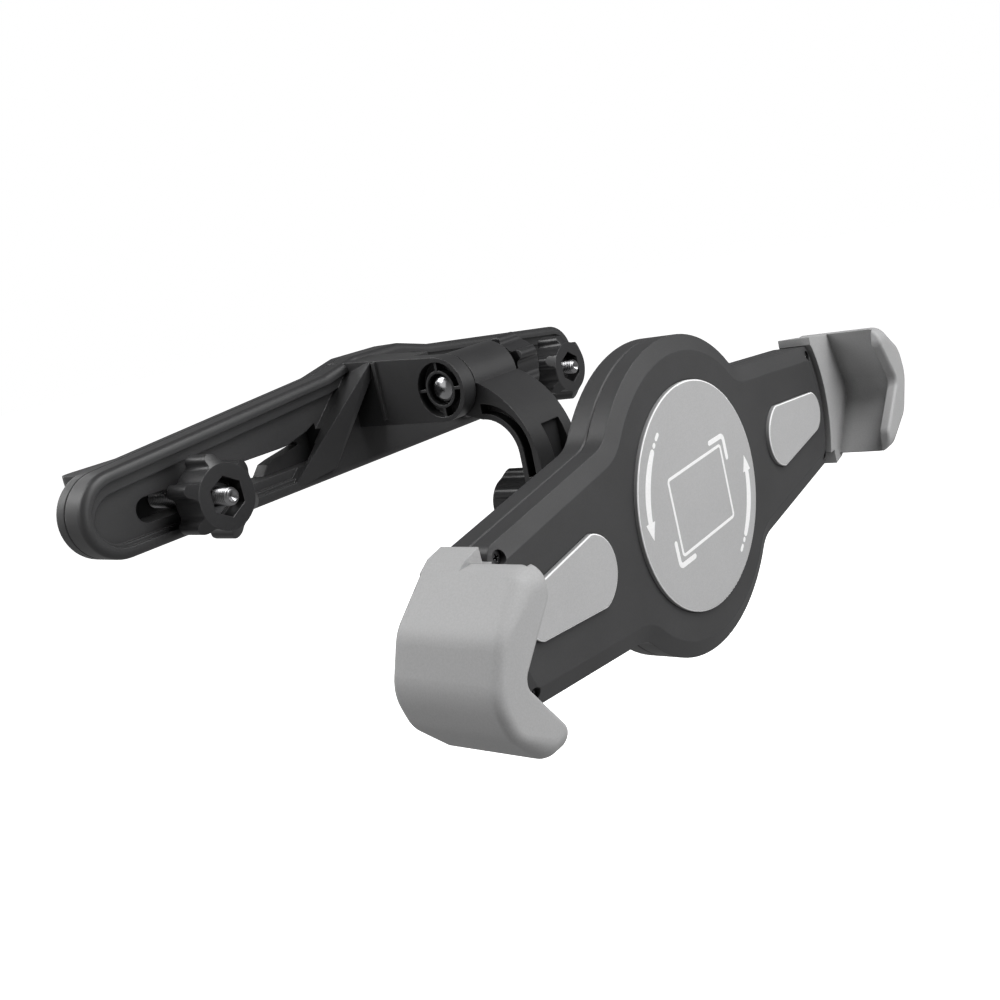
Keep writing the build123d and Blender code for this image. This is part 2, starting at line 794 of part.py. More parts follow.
def holder_face(inset=0.0):
    """Outline of the holder: a round middle with two tapering arms."""
    slope = (arm_root_y - body_corner_y) / (body_corner_x - arm_root_x)
    middle_y = body_corner_y + slope * body_corner_x
    with BuildSketch() as face:
        with BuildLine():
            for side in (-1, 1):
                Polyline((0, side * middle_y), (body_corner_x, side * body_corner_y))
                Polyline((0, side * middle_y), (-body_corner_x, side * body_corner_y))
                ThreePointArc(
                    (side * body_corner_x, -body_corner_y),
                    (side * body_end_x, 0),
                    (side * body_corner_x, body_corner_y),
                )
        make_face()
        corners = face.vertices().filter_by(lambda corner: abs(abs(corner.X) - body_corner_x) < 0.01)
        fillet(corners, body_corner_round)
        Circle(body_r)
        near, far = junction_band
        junctions = face.vertices().filter_by(lambda corner: near < abs(corner.X) < far)
        fillet(junctions, body_junction_round)
        if inset:
            offset(amount=-inset, kind=Kind.INTERSECTION, mode=Mode.REPLACE)
    return face.sketch


def pad_face(side, grow=0.0):
    """Outline of one pad: wide round end towards the disc."""
    wide_x = disc_r + pad_disc_gap
    small_x = body_end_x - pad_end_gap
    wide_corner = (side * (wide_x + pad_wide_bow), pad_wide_y)
    small_corner = (side * (small_x - pad_small_bow), pad_small_y)
    with BuildSketch() as face:
        with BuildLine():
            for sign in (-1, 1):
                Line((wide_corner[0], sign * wide_corner[1]), (small_corner[0], sign * small_corner[1]))
            for (corner_x, corner_y), crest in ((wide_corner, wide_x), (small_corner, small_x)):
                ThreePointArc((corner_x, -corner_y), (side * crest, 0), (corner_x, corner_y))
        make_face()
        fillet(face.vertices(), pad_round)
        if grow:
            offset(amount=grow, mode=Mode.REPLACE)
    return face.sketch


corner_screws = [(sx * corner_screw_x, sy * corner_screw_y) for sx in (-1, 1) for sy in (-1, 1)]
bar_middle_y = (rack_root_y + bar_outer_y) / 2
bar_w = bar_outer_y - rack_root_y
floor_w = -holder_t + skin
bar_back = bar_front + bar_t


def bar_openings():
    """Openings in the end walls that the sliding bars pass through."""
    with BuildSketch() as openings:
        for side in (-1, 1):
            with Locations((side * body_end_x, side * bar_middle_y)):
                Rectangle(6 * skin, bar_w + 2 * bar_gap)
    return openings.sketch


# Rear cover with the guides, the pinion's post and the spring's anchor
with BuildPart() as rear_cover:
    with BuildSketch(holder.offset(-holder_t)):
        add(holder_face())
    extrude(amount=holder_t - cover_t)
    back_edges = rear_cover.faces().sort_by(Axis.Y)[-1].outer_wire().edges()
    fillet(back_edges, back_round)
    seam_edges = rear_cover.faces().sort_by(Axis.Y)[0].outer_wire().edges()
    chamfer(seam_edges, seam_chamfer)
    with BuildSketch(holder.offset(floor_w)):
        add(holder_face(skin))
    extrude(amount=holder_t - cover_t - skin, mode=Mode.SUBTRACT)
    with BuildSketch(holder.offset(floor_w)):
        with Locations(*corner_screws):
            Circle(corner_boss_r)
        with PolarLocations(neck_screw_ring_r, 4):
            Circle(neck_screw_head_r)
    extrude(amount=holder_t - cover_t - skin)
    with BuildSketch(holder.offset(floor_w)):
        Circle(pinion_post_r)
        for side in (-1, 1):
            with Locations((side * guide_x, side * (bar_outer_y + bar_gap + guide_w / 2))):
                Rectangle(guide_length, guide_w)
            with Locations((side * guide_x, side * (rack_root_y - bar_gap - guide_w / 2))):
                Rectangle(guide_length, guide_w)
    extrude(amount=-floor_w - bar_front - bar_gap)
    with BuildSketch(holder.offset(floor_w)):
        for side in (-1, 1):
            with Locations((side * track_x, side * bar_middle_y)):
                Rectangle(track_length, track_w)
    extrude(amount=-floor_w - bar_back - bar_gap)
    with BuildSketch(holder.offset(-bar_back - bar_gap)):
        add(bar_openings())
    extrude(amount=bar_back + bar_gap - cover_t, mode=Mode.SUBTRACT)
    with BuildSketch(holder.offset(-holder_t)):
        with PolarLocations(neck_screw_ring_r, 4):
            Circle(neck_screw_r + bolt_fit)
    extrude(amount=skin + neck_screw_bite + hole_spare, mode=Mode.SUBTRACT)
    with BuildSketch(holder.offset(-cover_t)):
        with Locations(*corner_screws):
            Circle(corner_screw_r + bolt_fit)
    extrude(amount=-corner_screw_bite - hole_spare, mode=Mode.SUBTRACT)
keep(rear_cover, "rear_cover")

# Front cover with a broad bevel and seats for the disc and the pads
with BuildPart() as front_cover:
    with BuildSketch(holder.offset(-cover_t)):
        add(holder_face())
    extrude(amount=cover_t - bevel_h)
    extrude(front_cover.faces().sort_by(Axis.Y)[0], amount=bevel_h, taper=degrees(atan2(bevel_w, bevel_h)))
    seam_edges = front_cover.faces().sort_by(Axis.Y)[-1].outer_wire().edges()
    chamfer(seam_edges, seam_chamfer)
    with BuildSketch(holder.offset(-cover_t)):
        add(holder_face(skin + bevel_h))
    extrude(amount=cover_t - front_skin, mode=Mode.SUBTRACT)
    with BuildSketch(holder.offset(-front_skin)):
        Circle(pinion_hub_r + collar_t)
        Circle(pinion_hub_r, mode=Mode.SUBTRACT)
    extrude(amount=-(bar_front - front_skin - bar_gap / 2))
    with BuildSketch(holder.offset(-front_skin)):
        with Locations(*corner_screws):
            Circle(corner_boss_r)
    extrude(amount=-(cover_t - front_skin))
    with BuildSketch(holder):
        Circle(disc_r + trim_gap)
        add(pad_face(-1, trim_gap))
        add(pad_face(1, trim_gap))
    extrude(amount=-trim_depth, mode=Mode.SUBTRACT)
    with BuildSketch(holder.offset(-bar_front + bar_gap)):
        add(bar_openings())
    extrude(amount=-(cover_t - bar_front + bar_gap), mode=Mode.SUBTRACT)
    with BuildSketch(holder):
        with Locations(*corner_screws):
            Circle(corner_screw_r + bolt_fit)
    extrude(amount=-cover_t, mode=Mode.SUBTRACT)
    with BuildSketch(holder):
        with Locations(*corner_screws):
            Circle(corner_head_r)
    extrude(amount=-bevel_h - corner_head_h, mode=Mode.SUBTRACT)
keep(front_cover, "front_cover")

# Screws at the corners of the covers, as one group
with BuildPart() as cover_screws:
    with BuildSketch(holder.offset(-bevel_h - corner_head_h)):
        with Locations(*corner_screws):
            Circle(corner_head_r - bolt_fit)
    extrude(amount=corner_head_h)
    with BuildSketch(holder.offset(-bevel_h - corner_head_h)):
        with Locations(*corner_screws):
            Circle(corner_screw_r)
    extrude(amount=-(cover_t + corner_screw_bite - bevel_h - corner_head_h))
keep(cover_screws, "cover_screws")

# Disc and pads that the tablet rests on
with BuildPart() as center_disc:
    with BuildSketch(holder.offset(-trim_depth)):
        Circle(disc_r)
    extrude(amount=trim_depth + trim_rise)
    fillet(center_disc.faces().sort_by(Axis.Y)[0].edges(), trim_round)
keep(center_disc, "center_disc")
for side, word in ((-1, "left"), (1, "right")):
    with BuildPart() as pad:
        with BuildSketch(holder.offset(-trim_depth)):
            add(pad_face(side))
        extrude(amount=trim_depth + trim_rise)
        fillet(pad.faces().sort_by(Axis.Y)[0].edges(), trim_round)
    keep(pad, f"{word}_pad")

# Claws: both are the same piece, one turned half round
claw_root_x = body_end_x - claw_root_in


def from_end(*points):
    """Points of a claw, given from the holder's end."""
    return [(body_end_x + x, y) for x, y in points]


outer_line = from_end((7.7, claw_low_y), (19.1, -10.8), (24.7, 0.8), (22.3, 9.6), (12.9, claw_high_y))
wall_line = from_end((3.3, claw_low_y), (17.7, -1.2), (8.7, claw_high_y))
lip_line = from_end((1.5, claw_low_y), (2.1, -12.2), (15.6, 0.7), (6.3, 14.8), (7.7, claw_high_y))
low_cap = from_end(
    (-0.3, -21.4),
    (4.6, -20.5),
    (7.9, -18.6),
    (7.9, claw_low_y + claw_cap),
    (-0.3, claw_low_y + claw_cap),
)
high_cap = from_end(
    (-body_end_bow, 22.0),
    (8.7, claw_high_y),
    (8.7, claw_high_y - claw_cap),
    (-body_end_bow, claw_high_y - claw_cap),
)


def claw_block():
    """Solid outline of a claw: round folds along the outer line, round ends."""
    with BuildSketch() as block:
        with BuildLine():
            Polyline(*outer_line, (claw_root_x, claw_high_y), (claw_root_x, claw_low_y), close=True)
        make_face()
        for corner in outer_line[1:-1]:
            fillet(block.vertices().sort_by_distance((*corner, 0))[0], claw_fold_r)
        for corner in (outer_line[0], outer_line[-1]):
            fillet(block.vertices().sort_by_distance((*corner, 0))[0], claw_end_r)
    return block.sketch


def claw_hollow(line, fold_r):
    """Area on the tablet's side of an inner line of the claw."""
    with BuildSketch() as hollow:
        with BuildLine():
            Polyline(
                (claw_root_x - claw_gap, 2 * claw_low_y),
                (line[0][0], 2 * claw_low_y),
                *line,
                (line[-1][0], 2 * claw_high_y),
                (claw_root_x - claw_gap, 2 * claw_high_y),
                close=True,
            )
        make_face()
        for corner in line[1:-1]:
            fillet(hollow.vertices().sort_by_distance((*corner, 0))[0], fold_r)
    return hollow.sketch


def rack_face():
    """Sliding bar with straight rack teeth along its inner edge."""
    half_root = tooth_pitch / 4 + 1.25 * tooth_module * tan(pressure_angle) - tooth_play
    half_tip = tooth_pitch / 4 - tooth_module * tan(pressure_angle) - tooth_play
    with BuildSketch() as bar:
        with Locations(((bar_inner_x + body_end_x + bar_reach) / 2, bar_middle_y)):
            Rectangle(body_end_x + bar_reach - bar_inner_x, bar_w)
        for step in range(rack_first, rack_last + 1):
            middle = step * tooth_pitch
            with BuildLine():
                Polyline(
                    (middle - half_root, rack_root_y),
                    (middle - half_tip, rack_tip_y),
                    (middle + half_tip, rack_tip_y),
                    (middle + half_root, rack_root_y),
                    close=True,
                )
            make_face()
    return bar.sketch


def claw(plane):
    """One claw on the holder's frame: wall, lip, base at the cover's end and sliding bar."""
    with BuildPart() as piece:
        with BuildSketch(plane.offset(-claw_back)):
            add(claw_block())
        extrude(amount=claw_back + lip_front)
        spots = [(edge, plane.to_local_coords(edge.center())) for edge in piece.edges()]
        front = [edge for edge, spot in spots if spot.Z > lip_front - 0.01 and spot.X > claw_root_x + 1]
        fillet(front, claw_round)
        with BuildSketch(plane):
            add(claw_hollow(lip_line, lip_inner_r))
        extrude(amount=lip_front, mode=Mode.SUBTRACT)
        with BuildSketch(plane):
            add(claw_hollow(wall_line, claw_inner_r))
        extrude(amount=lip_front - lip_t, mode=Mode.SUBTRACT)
        spots = [(edge, plane.to_local_coords(edge.center())) for edge in piece.edges()]
        edge_x = body_end_x + lip_edge_reach
        inner = [
            edge
            for edge, spot in spots
            if spot.Z > lip_front - 0.01 and spot.X + lip_edge_slant * abs(spot.Y) < edge_x
        ]
        fillet(inner, lip_round)
        back = [edge for edge, spot in spots if spot.Z < 0.01 - claw_back and spot.X > outer_line[0][0]]
        fillet(back, claw_back_round)
        with BuildSketch(plane.offset(-claw_back)):
            for cap in (low_cap, high_cap):
                with BuildLine():
                    Polyline(*cap, close=True)
                make_face()
        extrude(amount=claw_back)
        # Room for the cover's end and its bare low corner
        with BuildSketch(plane.offset(-claw_back)):
            add(holder_face(-claw_gap))
            with Locations((low_cap[0][0], body_corner_round - body_corner_y)):
                Rectangle(2 * claw_root_in, -2 * claw_low_y, align=(Align.MAX, Align.MAX))
        extrude(amount=claw_back, mode=Mode.SUBTRACT)
        with BuildSketch(plane.offset(-bar_back)):
            add(rack_face())
        extrude(amount=bar_t)
    return piece


opposite = Plane(origin=holder.origin, x_dir=-holder.x_dir, z_dir=holder.z_dir)
keep(claw(holder), "right_claw")
keep(claw(opposite), "left_claw")

# Pinion between the two racks
base_r = pitch_r * cos(pressure_angle)


def involute_angle(radius):
    """Involute of the pressure angle at a radius."""
    slant = acos(base_r / radius)
    return tan(slant) - slant


def tooth_half_angle(radius):
    """Half of a tooth's thickness at a radius, as an angle."""
    at_pitch = pi / (2 * pinion_teeth) - tooth_play / pitch_r
    return at_pitch + involute_angle(pitch_r) - involute_angle(max(radius, base_r))


flank = [root_r, base_r, *(base_r + (tip_r - base_r) * share for share in flank_shares), tip_r]
gear_points = []
for tooth in range(pinion_teeth):
    centre = pi / 2 + (tooth + 0.5) * 2 * pi / pinion_teeth
    for radius in flank:
        angle = centre - tooth_half_angle(radius)
        gear_points.append((radius * cos(angle), radius * sin(angle)))
    for radius in reversed(flank):
        angle = centre + tooth_half_angle(radius)
        gear_points.append((radius * cos(angle), radius * sin(angle)))
with BuildPart() as pinion:
    with BuildSketch(holder.offset(-bar_back)):
        with BuildLine():
            Polyline(*gear_points, close=True)
        make_face()
    extrude(amount=bar_t)
    with BuildSketch(holder.offset(-bar_back)):
        Circle(pinion_hub_r)
    extrude(amount=-(-floor_w - bar_back - bar_gap))
    with BuildSketch(holder.offset(floor_w)):
        Circle(pinion_post_r + bolt_fit)
    extrude(amount=-floor_w, mode=Mode.SUBTRACT)
keep(pinion, "pinion")

# Spiral spring around the pinion's hub
spiral = []
spiral_steps = spring_steps * spring_turns
for step in range(spiral_steps + 1):
    turn = 2 * pi * spring_turns * step / spiral_steps
    radius = spring_in_r + (spring_out_r - spring_in_r) * step / spiral_steps
    spiral.append((radius, turn))
spiral_inside = [(radius * cos(turn), radius * sin(turn)) for radius, turn in spiral]
spiral_outer = [(radius + spring_strip, turn) for radius, turn in spiral]
spiral_outside = [(radius * cos(turn), radius * sin(turn)) for radius, turn in spiral_outer]
with BuildPart() as return_spring:
    with BuildSketch(holder.offset(floor_w + bolt_loose)):
        with BuildLine():
            Polyline(*spiral_inside, *reversed(spiral_outside), close=True)
        make_face()
    extrude(amount=spring_h)
keep(return_spring, "return_spring")
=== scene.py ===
import math

import bmesh
import bpy
from mathutils import Matrix, Vector


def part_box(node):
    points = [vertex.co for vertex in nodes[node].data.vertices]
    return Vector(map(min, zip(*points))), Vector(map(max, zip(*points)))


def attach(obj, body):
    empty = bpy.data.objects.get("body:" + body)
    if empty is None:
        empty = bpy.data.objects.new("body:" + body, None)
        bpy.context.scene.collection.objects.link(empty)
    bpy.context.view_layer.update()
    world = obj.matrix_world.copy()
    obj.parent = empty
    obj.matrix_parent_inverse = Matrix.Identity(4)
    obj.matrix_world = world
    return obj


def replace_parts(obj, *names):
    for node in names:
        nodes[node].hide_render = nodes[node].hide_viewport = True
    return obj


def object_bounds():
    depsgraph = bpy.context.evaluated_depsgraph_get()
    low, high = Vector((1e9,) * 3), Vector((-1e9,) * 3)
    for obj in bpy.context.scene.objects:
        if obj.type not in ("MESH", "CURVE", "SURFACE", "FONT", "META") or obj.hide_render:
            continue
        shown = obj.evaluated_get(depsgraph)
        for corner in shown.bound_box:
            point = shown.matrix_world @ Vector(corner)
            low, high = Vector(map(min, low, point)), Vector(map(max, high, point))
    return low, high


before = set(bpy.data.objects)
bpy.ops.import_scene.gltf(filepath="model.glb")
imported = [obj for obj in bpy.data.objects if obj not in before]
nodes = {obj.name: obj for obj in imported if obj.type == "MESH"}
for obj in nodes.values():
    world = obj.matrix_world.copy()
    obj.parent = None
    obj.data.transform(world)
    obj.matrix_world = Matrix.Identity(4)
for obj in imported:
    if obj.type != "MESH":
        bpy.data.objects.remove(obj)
cad_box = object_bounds()
scene = bpy.context.scene

# Places from the part's source, in millimetres

MM = 0.001
HOLDER_Y, HOLDER_Z = -118.2, -26.7
HOLDER_TURN = math.radians(3.3)
TURN_COS, TURN_SIN = math.cos(HOLDER_TURN), math.sin(HOLDER_TURN)
CLAMP_X = 80.0
HINGE_PLACE = (0, -48.8, 11.7)


# Materials

EDGE_DOT, FLAT_DOT = 0.8, 0.985
METAL_EDGE = 0.06
METAL_EDGE_COLOUR = (0.92, 0.92, 0.93)
# Reach in millimetres of the painted shade: in grooves and corners of plastics, and in thread valleys of
# metals
CREVICE_SHADE_REACH, THREAD_SHADE_REACH = 8, 0.9
EDGE_POLISH = -0.12
GLOSS_BELOW, GLOSS_ABOVE = 0.06, 0.07
PLATING_BELOW, PLATING_ABOVE = 0.08, 0.1


class Surface:
    """Material that is put together from nodes."""

    def __init__(self, name):
        self.material = bpy.data.materials.new(name)
        self.material.use_nodes = True
        self.nodes = self.material.node_tree.nodes
        self.link = self.material.node_tree.links.new
        self.shader = self.nodes["Principled BSDF"]
        self.coord = self.add("TexCoord").outputs

    def add(self, kind, **values):
        """New node; a value goes to the input of that name, or else to the property."""
        node = self.nodes.new("ShaderNode" + kind)
        for key, value in values.items():
            if key in node.inputs:
                node.inputs[key].default_value = value
            else:
                setattr(node, key, value)
        return node

    def noise(self, vector, **values):
        node = self.add("TexNoise", **values)
        self.link(vector, node.inputs["Vector"])
        return node.outputs["Fac"]

    def ramp(self, value, stops):
        """Colour for a value, from stops that each give a place and a grey or a colour."""
        node = self.add("ValToRGB")
        elements = node.color_ramp.elements
        while len(elements) < len(stops):
            elements.new(0.5)
        for element, (place, shade) in zip(elements, stops):
            element.position = place
            element.color = (*shade, 1) if isinstance(shade, tuple) else (shade, shade, shade, 1)
        self.link(value, node.inputs["Fac"])
        return node.outputs["Color"]

    def spread(self, value, given, wanted=(0.0, 1.0)):
        """Value taken from a given range to a wanted one."""
        node = self.add("MapRange")
        for key, limit in zip(("From Min", "From Max", "To Min", "To Max"), (*given, *wanted)):
            node.inputs[key].default_value = limit
        self.link(value, node.inputs["Value"])
        return node.outputs["Result"]

    def multiply(self, one, two):
        node = self.add("MixRGB", blend_type="MULTIPLY", Fac=1.0)
        self.link(one, node.inputs["Color1"])
        self.link(two, node.inputs["Color2"])
        return node.outputs["Color"]

    def cover(self, colour, share, paint):
        """Colour that goes over to a paint by a share."""
        node = self.add("MixRGB", Color2=(*paint, 1))
        self.link(share, node.inputs["Fac"])
        self.link(colour, node.inputs["Color1"])
        return node.outputs["Color"]

    def edges(self, radius):
        """Bevelled normal and a mask that is 1 along sharp edges."""
        bevel = self.add("Bevel", samples=6, Radius=radius * MM)
        geometry = self.add("NewGeometry")
        dot = self.add("VectorMath", operation="DOT_PRODUCT")
        self.link(bevel.outputs["Normal"], dot.inputs[0])
        self.link(geometry.outputs["Normal"], dot.inputs[1])
        return bevel.outputs["Normal"], self.spread(dot.outputs["Value"], (FLAT_DOT, EDGE_DOT))

    def painted_crevice_shade(self, colour, reach, stops):
        """Colour darkened by ambient occlusion in grooves and corners: painted shade."""
        shelter = self.add("AmbientOcclusion", samples=8, Distance=reach * MM)
        return self.multiply(colour, self.ramp(shelter.outputs["AO"], stops))

    def painted_rim_highlight(self):
        """Mask for a painted highlight: 1 on the rounded front edge of a trim that faces the tablet."""
        split = self.add("SeparateXYZ")
        self.link(self.coord["Normal"], split.inputs["Vector"])
        facing = self.spread(split.outputs["Y"], (0.0, -1.0))
        return self.ramp(facing, [(0.2, 0.0), (0.5, 1.0), (0.95, 1.0), (0.99, 0.0)])

    def bump(self, height, strength, depth, normal=None):
        node = self.add("Bump", Strength=strength, Distance=depth * MM)
        self.link(height, node.inputs["Height"])
        if normal:
            self.link(normal, node.inputs["Normal"])
        self.link(node.outputs["Normal"], self.shader.inputs["Normal"])


def scaled(colour, factor):
    return tuple(min(1, channel * factor) for channel in colour)


def moulded(name, colour, worn, rough, grain, depth, edge=0.35, cloudy=0.1, rim_highlight=None):
    """Moulded plastic: fine spark-eroded grain, faint flow marks, polished and paler edges, painted shade
    in grooves and corners, and a painted highlight on the rounded front rim when a rim colour is given.
    """
    made = Surface(name)
    place = made.coord["Object"]
    bevel, mask = made.edges(edge)
    cloud = made.noise(place, Scale=38.0, Detail=4.0, Roughness=0.6)
    flow = made.noise(place, Scale=9.0, Detail=3.0, Distortion=0.8)
    fine = made.noise(place, Scale=grain, Detail=3.0, Roughness=0.65)
    scuff = made.noise(place, Scale=420.0, Detail=5.0, Roughness=0.7)
    tone = made.ramp(cloud, [(0.32, scaled(colour, 1 - cloudy)), (0.68, scaled(colour, 1 + cloudy))])
    grainy = made.multiply(tone, made.ramp(fine, [(0.3, 0.92), (0.7, 1.06)]))
    rub = made.ramp(scuff, [(0.42, 0.15), (0.62, 1.0)])
    product = made.add("Math", operation="MULTIPLY")
    made.link(mask, product.inputs[0])
    made.link(rub, product.inputs[1])
    wear = product.outputs["Value"]
    skin = made.cover(grainy, wear, worn)
    # Painted highlight: the rounded front rim is turned near white
    if rim_highlight:
        skin = made.cover(skin, made.painted_rim_highlight(), rim_highlight)
    # Painted shade: the colour is darkened in grooves and corners
    crevice_shaded = made.painted_crevice_shade(skin, CREVICE_SHADE_REACH, [(0.15, 0.2), (0.75, 1.0)])
    made.link(crevice_shaded, made.shader.inputs["Base Color"])
    polish = made.add("Math", operation="MULTIPLY_ADD")
    made.link(wear, polish.inputs[0])
    polish.inputs[1].default_value = EDGE_POLISH
    gloss = made.spread(flow, (0.3, 0.7), (rough - GLOSS_BELOW, rough + GLOSS_ABOVE))
    made.link(gloss, polish.inputs[2])
    made.link(polish.outputs["Value"], made.shader.inputs["Roughness"])
    made.bump(fine, strength=0.35, depth=depth, normal=bevel)
    return made.material


def metal(name, colour, rough, streak):
    """Plated or drawn metal: fine streaks, cloudy plating, brighter edges, painted shade in its grooves and
    thread valleys.
    """
    made = Surface(name)
    bevel, mask = made.edges(METAL_EDGE)
    stretch = made.add("Mapping", Scale=streak)
    made.link(made.coord["Object"], stretch.inputs["Vector"])
    lines = made.noise(stretch.outputs["Vector"], Scale=900.0, Detail=4.0, Roughness=0.7)
    cloud = made.noise(made.coord["Object"], Scale=260.0, Detail=4.0)
    tone = made.ramp(cloud, [(0.3, scaled(colour, 0.8)), (0.7, colour)])
    bright = made.cover(tone, mask, METAL_EDGE_COLOUR)
    # Painted shade: the colour is darkened nearly to black in thread valleys and grooves
    thread_shaded = made.painted_crevice_shade(bright, THREAD_SHADE_REACH, [(0.4, 0.04), (0.92, 1.0)])
    made.link(thread_shaded, made.shader.inputs["Base Color"])
    gloss = made.spread(lines, (0.0, 1.0), (rough - PLATING_BELOW, rough + PLATING_ABOVE))
    made.link(gloss, made.shader.inputs["Roughness"])
    made.bump(lines, strength=0.25, depth=0.02, normal=bevel)
    made.shader.inputs["Metallic"].default_value = 1.0
    return made.material


def printed(name, colour):
    """Screen-printed ink: slightly uneven cover, matte."""
    made = Surface(name)
    cover = made.noise(made.coord["Object"], Scale=2600.0, Detail=3.0)
    tone = made.ramp(cover, [(0.3, scaled(colour, 0.93)), (0.6, colour)])
    made.link(tone, made.shader.inputs["Base Color"])
    made.link(made.ramp(cover, [(0.3, 0.5), (0.7, 0.62)]), made.shader.inputs["Roughness"])
    made.bump(cover, strength=0.2, depth=0.01)
    return made.material


body_black = moulded("body_black", (0.042, 0.042, 0.043), worn=(0.09, 0.09, 0.092),
                     rough=0.5, grain=2600.0, depth=0.04)
rail_black = moulded("rail_black", (0.034, 0.034, 0.035), worn=(0.085, 0.085, 0.087),
                     rough=0.4, grain=1900.0, depth=0.03)
knob_black = moulded("knob_black", (0.028, 0.028, 0.029), worn=(0.08, 0.08, 0.082),
                     rough=0.34, grain=2100.0, depth=0.04)
soft_grey = moulded("soft_grey", (0.39, 0.39, 0.392), worn=(0.45, 0.45, 0.452),
                    rough=0.55, grain=2400.0, depth=0.03, edge=0.5, cloudy=0.02)
# The disc's rim colour is a painted highlight along its rounded front edge
disc_grey = moulded("disc_grey", (0.44, 0.44, 0.443), worn=(0.5, 0.5, 0.502),
                    rough=0.55, grain=2800.0, depth=0.03, cloudy=0.02, rim_highlight=(0.92, 0.92, 0.922))
nylon = moulded("nylon", (0.8, 0.79, 0.75), worn=(0.86, 0.85, 0.82),
                rough=0.45, grain=1800.0, depth=0.02)
zinc = metal("zinc", (0.4, 0.4, 0.408), rough=0.3, streak=(1.0, 12.0, 12.0))
polished_steel = metal("polished_steel", (0.42, 0.42, 0.43), rough=0.16, streak=(4.0, 4.0, 4.0))
dark_steel = metal("dark_steel", (0.16, 0.16, 0.165), rough=0.3, streak=(6.0, 6.0, 1.0))
spring_steel = metal("spring_steel", (0.45, 0.45, 0.47), rough=0.34, streak=(12.0, 1.0, 12.0))
ink = printed("ink", (0.93, 0.93, 0.93))

finish = {
    "rail_front": rail_black,
    "rail_back": rail_black,
    "left_hook": rail_black,
    "right_hook": rail_black,
    "arm": rail_black,
    "swivel_neck": rail_black,
    "front_cover": body_black,
    "rear_cover": body_black,
    "left_knob": knob_black,
    "right_knob": knob_black,
    "hinge_knob": knob_black,
    "swivel_knob": knob_black,
    "left_claw": soft_grey,
    "right_claw": soft_grey,
    "center_disc": disc_grey,
    "left_pad": disc_grey,
    "right_pad": disc_grey,
    "pinion": nylon,
    "return_spring": spring_steel,
    "cover_screws": dark_steel,
    "left_nut": dark_steel,
    "right_nut": dark_steel,
    "hinge_nut": dark_steel,
    "swivel_nut": dark_steel,
}
for name, obj in nodes.items():
    obj.data.materials.clear()
    obj.data.materials.append(finish.get(name, zinc))


# Detail pieces

SHARP = math.radians(32)


def new_piece(name, bm, body, material):
    """Piece from a mesh, with smooth faces and sharp creases, that rides on a body."""
    mesh = bpy.data.meshes.new(name)
    bmesh.ops.recalc_face_normals(bm, faces=bm.faces)
    for face in bm.faces:
        face.smooth = True
    bm.to_mesh(mesh)
    bm.free()
    mesh.set_sharp_from_angle(angle=SHARP)
    mesh.materials.append(material)
    piece = bpy.data.objects.new(name, mesh)
    scene.collection.objects.link(piece)
    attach(piece, body)
    return piece


def along(origin, axis, across):
    """Frame with its z along the axis and its x along across; millimetres to metres."""
    z = Vector(axis).normalized()
    x = Vector(across)
    x = (x - z * x.dot(z)).normalized()
    y = z.cross(x)
    turned = Matrix((x, y, z)).transposed().to_4x4()
    return Matrix.Translation(Vector(origin) * MM) @ turned @ Matrix.Scale(MM, 4)


def polar(radius, angle):
    return radius * math.cos(angle), radius * math.sin(angle)


def rings(bm, place, rows, close_top=True):
    """One skin over rows of points, each row a closed ring of the same length."""
    loops = [[bm.verts.new(place @ Vector(p)) for p in row] for row in rows]
    for low, high in zip(loops, loops[1:]):
        for k in range(len(low)):
            n = (k + 1) % len(low)
            bm.faces.new((low[k], low[n], high[n], high[k]))
    bm.faces.new(list(reversed(loops[0])))
    if close_top:
        bm.faces.new(loops[-1])
    return loops


# Bolts and screws with the sizes of the solids they replace

SIDES = 36
BOLT_R = 2.5
BOLT_TIP, HINGE_TIP = 0.7, 0.6
THREAD_PITCH, THREAD_DEPTH = 0.8, 0.42
ROWS_A_TURN = 8
THREAD_ROOT, THREAD_FLANK = 0.12, 0.74
MARK_RIM, MARK_END, MARK_DEPTH = 0.55, 0.08, 1.0
HEX_ACROSS, HEX_HEAD = 8.0, 3.4
HEX_INSET, HEX_CHAMFER = 0.1, 0.45
DOME_R, DOME_HEIGHT, DOME_ROWS = 4.5, 2.8, 10
DOME_BEND = math.radians(86)


def circle(radius, z):
    return [(*polar(radius, 2 * math.pi * k / SIDES), z) for k in range(SIDES)]


def thread_rows(start, end, tip):
    """Rings of a screw thread from start to end, with a coned tip and a centre mark."""
    rows = []
    steps = round((end - start) / THREAD_PITCH * ROWS_A_TURN)
    for row in range(steps + 1):
        z = start + (end - start) * row / steps
        ring = []
        for k in range(SIDES):
            share = k / SIDES
            wave = abs(((z / THREAD_PITCH - share) % 1.0) * 2 - 1)
            crest = min(1.0, max(0.0, (wave - THREAD_ROOT) / THREAD_FLANK))
            r = BOLT_R - THREAD_DEPTH * (1 - crest)
            r = min(r, BOLT_R - tip + (end - z))
            ring.append((*polar(r, 2 * math.pi * share), z))
        rows.append(ring)
    return rows + [circle(MARK_RIM * BOLT_R, end), circle(MARK_END * BOLT_R, end - MARK_DEPTH)]


def hex_rows(low, high):
    """Rings of a hex head with its corners turned off at the outer end."""
    rows = []
    for z, cap in ((low, HEX_ACROSS / 2 - HEX_INSET), (low + HEX_CHAMFER, HEX_ACROSS), (high, HEX_ACROSS)):
        ring = []
        for k in range(SIDES):
            angle = 2 * math.pi * k / SIDES
            flat = (angle + math.pi / 6) % (math.pi / 3) - math.pi / 6
            r = min(HEX_ACROSS / 2 / math.cos(flat), cap)
            ring.append((*polar(r, angle), z))
        rows.append(ring)
    return rows


